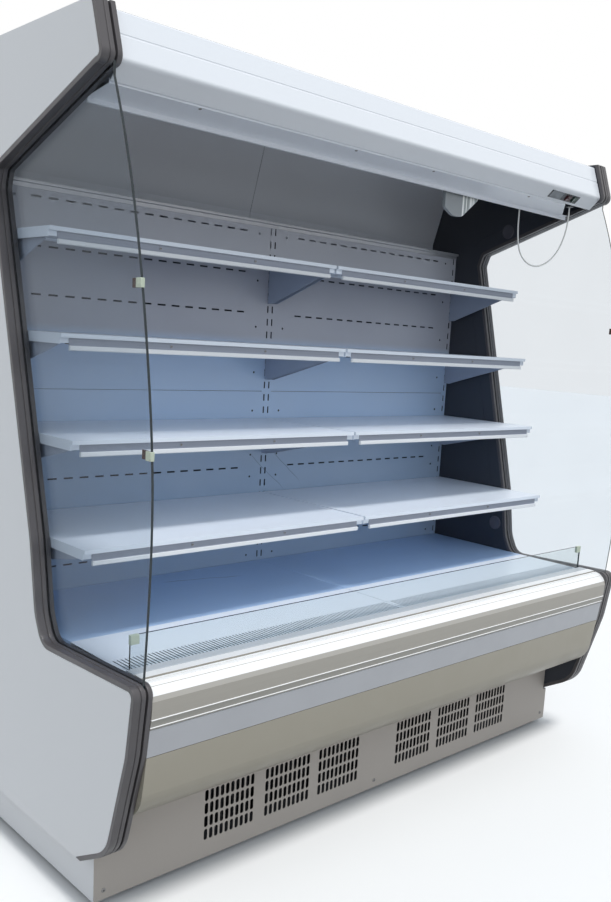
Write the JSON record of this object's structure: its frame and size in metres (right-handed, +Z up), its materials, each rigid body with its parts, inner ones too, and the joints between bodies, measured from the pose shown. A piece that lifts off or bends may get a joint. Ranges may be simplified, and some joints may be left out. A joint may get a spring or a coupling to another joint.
{
  "type": "open multideck display fridge",
  "caption": "Open-fronted chilled display cabinet with slotted back wall, bracketed shelves, glass ends, curved bumper, vented plinth and built-in cooling unit.",
  "frame": {"origin": "on the floor under the middle of the cabinet's box", "axes": "+X along the length to the viewer's right, -Y out of the open front, +Z up"},
  "size_m": [1.967, 0.9895, 2.05],
  "materials": {
    "white_enamel": "smooth powder coat",
    "canopy_enamel": "smooth powder coat",
    "wall_enamel": "smooth powder coat",
    "shelf_enamel": "smooth powder coat",
    "bracket_enamel": "smooth powder coat",
    "plinth_grey": "fine-textured powder coat",
    "panel_beige": "satin powder coat",
    "bumper_aluminium": "satin anodised",
    "strip_aluminium": "satin anodised",
    "rail_grey": "satin",
    "insert_blue_grey": "satin",
    "trim_grey": "satin",
    "foam_panel": "painted skins over foam",
    "clear_glass": "clear",
    "clip_plastic": "satin",
    "honeycomb_plastic": "matte",
    "lamp_white": "gloss",
    "controller_black": "satin",
    "rocker_red": "gloss",
    "rocker_green": "gloss",
    "lead_white": "satin",
    "zinc_steel": "zinc plated",
    "screw_steel": "plain",
    "coil_aluminium": "bright fins",
    "fan_black": "satin",
    "unit_black": "gloss",
    "copper": "drawn tube",
    "tray_plastic": "matte"
  },
  "bodies": {
    "cabinet": {"base_frame": "zinc_steel", "levelling_feet": "fan_black", "plinth_front": "plinth_grey", "plinth_sides": "white_enamel", "screws": "screw_steel", "insulated_body": "foam_panel", "upper_baffles": "wall_enamel", "back_panels": "wall_enamel", "uprights": "wall_enamel", "wall_top_strip": "strip_aluminium", "canopy_fascia": "canopy_enamel", "canopy_inner_cover": "canopy_enamel", "air_honeycomb": "honeycomb_plastic", "canopy_lamp": "lamp_white", "controller": "controller_black", "lamp_lead": "lead_white", "end_panel_left": "foam_panel", "end_panel_right": "foam_panel", "end_trim_left": "trim_grey", "end_trim_right": "trim_grey", "side_glass_left": "clear_glass", "side_glass_right": "clear_glass", "glass_clips": "clip_plastic", "riser_glass": "clear_glass", "riser_channel": "bumper_aluminium", "bumper_rail": "bumper_aluminium", "bumper_insert": "insert_blue_grey", "lower_panel": "panel_beige", "evaporator_coil": "coil_aluminium", "evaporator_fan_plate": "zinc_steel", "condenser": "coil_aluminium", "compressor": "unit_black", "refrigerant_pipes": "copper", "drip_tray": "tray_plastic", "shelf_brackets": "bracket_enamel"},
    "shelf_body_1_left": {"shelf_1_left": "shelf_enamel", "ticket_rail_1_left": "rail_grey"},
    "shelf_body_1_right": {"shelf_1_right": "shelf_enamel", "ticket_rail_1_right": "rail_grey"},
    "shelf_body_2_left": {"shelf_2_left": "shelf_enamel", "ticket_rail_2_left": "rail_grey"},
    "shelf_body_2_right": {"shelf_2_right": "shelf_enamel", "ticket_rail_2_right": "rail_grey"},
    "shelf_body_3_left": {"shelf_3_left": "shelf_enamel", "ticket_rail_3_left": "rail_grey"},
    "shelf_body_3_right": {"shelf_3_right": "shelf_enamel", "ticket_rail_3_right": "rail_grey"},
    "shelf_body_4_left": {"shelf_4_left": "shelf_enamel", "ticket_rail_4_left": "rail_grey"},
    "shelf_body_4_right": {"shelf_4_right": "shelf_enamel", "ticket_rail_4_right": "rail_grey"},
    "pan_body_left": {"deck_pan_left": "shelf_enamel"},
    "grille_body_left": {"return_grille_left": "shelf_enamel"},
    "pan_body_right": {"deck_pan_right": "shelf_enamel"},
    "grille_body_right": {"return_grille_right": "shelf_enamel"},
    "rocker_power_body": {"rocker_power": "rocker_red"},
    "rocker_light_body": {"rocker_light": "rocker_green"},
    "evaporator_fan_left_body": {"evaporator_fan_left": "fan_black"},
    "evaporator_fan_right_body": {"evaporator_fan_right": "fan_black"},
    "condenser_fan_body": {"condenser_fan": "fan_black"}
  },
  "joints": [
    {"name": "shelf_1_left_lift", "type": "slide", "parent": "cabinet", "child": "shelf_body_1_left", "axis": [0, 0, 1], "range_m": [0, 0.06]},
    {"name": "shelf_1_right_lift", "type": "slide", "parent": "cabinet", "child": "shelf_body_1_right", "axis": [0, 0, 1], "range_m": [0, 0.06]},
    {"name": "shelf_2_left_lift", "type": "slide", "parent": "cabinet", "child": "shelf_body_2_left", "axis": [0, 0, 1], "range_m": [0, 0.06]},
    {"name": "shelf_2_right_lift", "type": "slide", "parent": "cabinet", "child": "shelf_body_2_right", "axis": [0, 0, 1], "range_m": [0, 0.06]},
    {"name": "shelf_3_left_lift", "type": "slide", "parent": "cabinet", "child": "shelf_body_3_left", "axis": [0, 0, 1], "range_m": [0, 0.06]},
    {"name": "shelf_3_right_lift", "type": "slide", "parent": "cabinet", "child": "shelf_body_3_right", "axis": [0, 0, 1], "range_m": [0, 0.06]},
    {"name": "shelf_4_left_lift", "type": "slide", "parent": "cabinet", "child": "shelf_body_4_left", "axis": [0, 0, 1], "range_m": [0, 0.06]},
    {"name": "shelf_4_right_lift", "type": "slide", "parent": "cabinet", "child": "shelf_body_4_right", "axis": [0, 0, 1], "range_m": [0, 0.06]},
    {"name": "deck_pan_left_lift", "type": "slide", "parent": "cabinet", "child": "pan_body_left", "axis": [0, 0, 1], "range_m": [0, 0.1]},
    {"name": "return_grille_left_lift", "type": "slide", "parent": "cabinet", "child": "grille_body_left", "axis": [0, 0, 1], "range_m": [0, 0.1]},
    {"name": "deck_pan_right_lift", "type": "slide", "parent": "cabinet", "child": "pan_body_right", "axis": [0, 0, 1], "range_m": [0, 0.1]},
    {"name": "return_grille_right_lift", "type": "slide", "parent": "cabinet", "child": "grille_body_right", "axis": [0, 0, 1], "range_m": [0, 0.1]},
    {"name": "rocker_power_tip", "type": "hinge", "parent": "cabinet", "child": "rocker_power_body", "pos_m": [0.771, -0.28428, 1.91693], "axis": [0, -0.7322, 0.6811], "range_deg": [-16, 0]},
    {"name": "rocker_light_tip", "type": "hinge", "parent": "cabinet", "child": "rocker_light_body", "pos_m": [0.808, -0.28428, 1.91693], "axis": [0, -0.7322, 0.6811], "range_deg": [-16, 0]},
    {"name": "evaporator_fan_left_spin", "type": "hinge", "parent": "cabinet", "child": "evaporator_fan_left_body", "pos_m": [-0.4, -0.084, 0.44], "axis": [0, -1, 0], "continuous": true},
    {"name": "evaporator_fan_right_spin", "type": "hinge", "parent": "cabinet", "child": "evaporator_fan_right_body", "pos_m": [0.4, -0.084, 0.44], "axis": [0, -1, 0], "continuous": true},
    {"name": "condenser_fan_spin", "type": "hinge", "parent": "cabinet", "child": "condenser_fan_body", "pos_m": [-0.35, -0.172, 0.168], "axis": [0, -1, 0], "continuous": true}
  ]
}
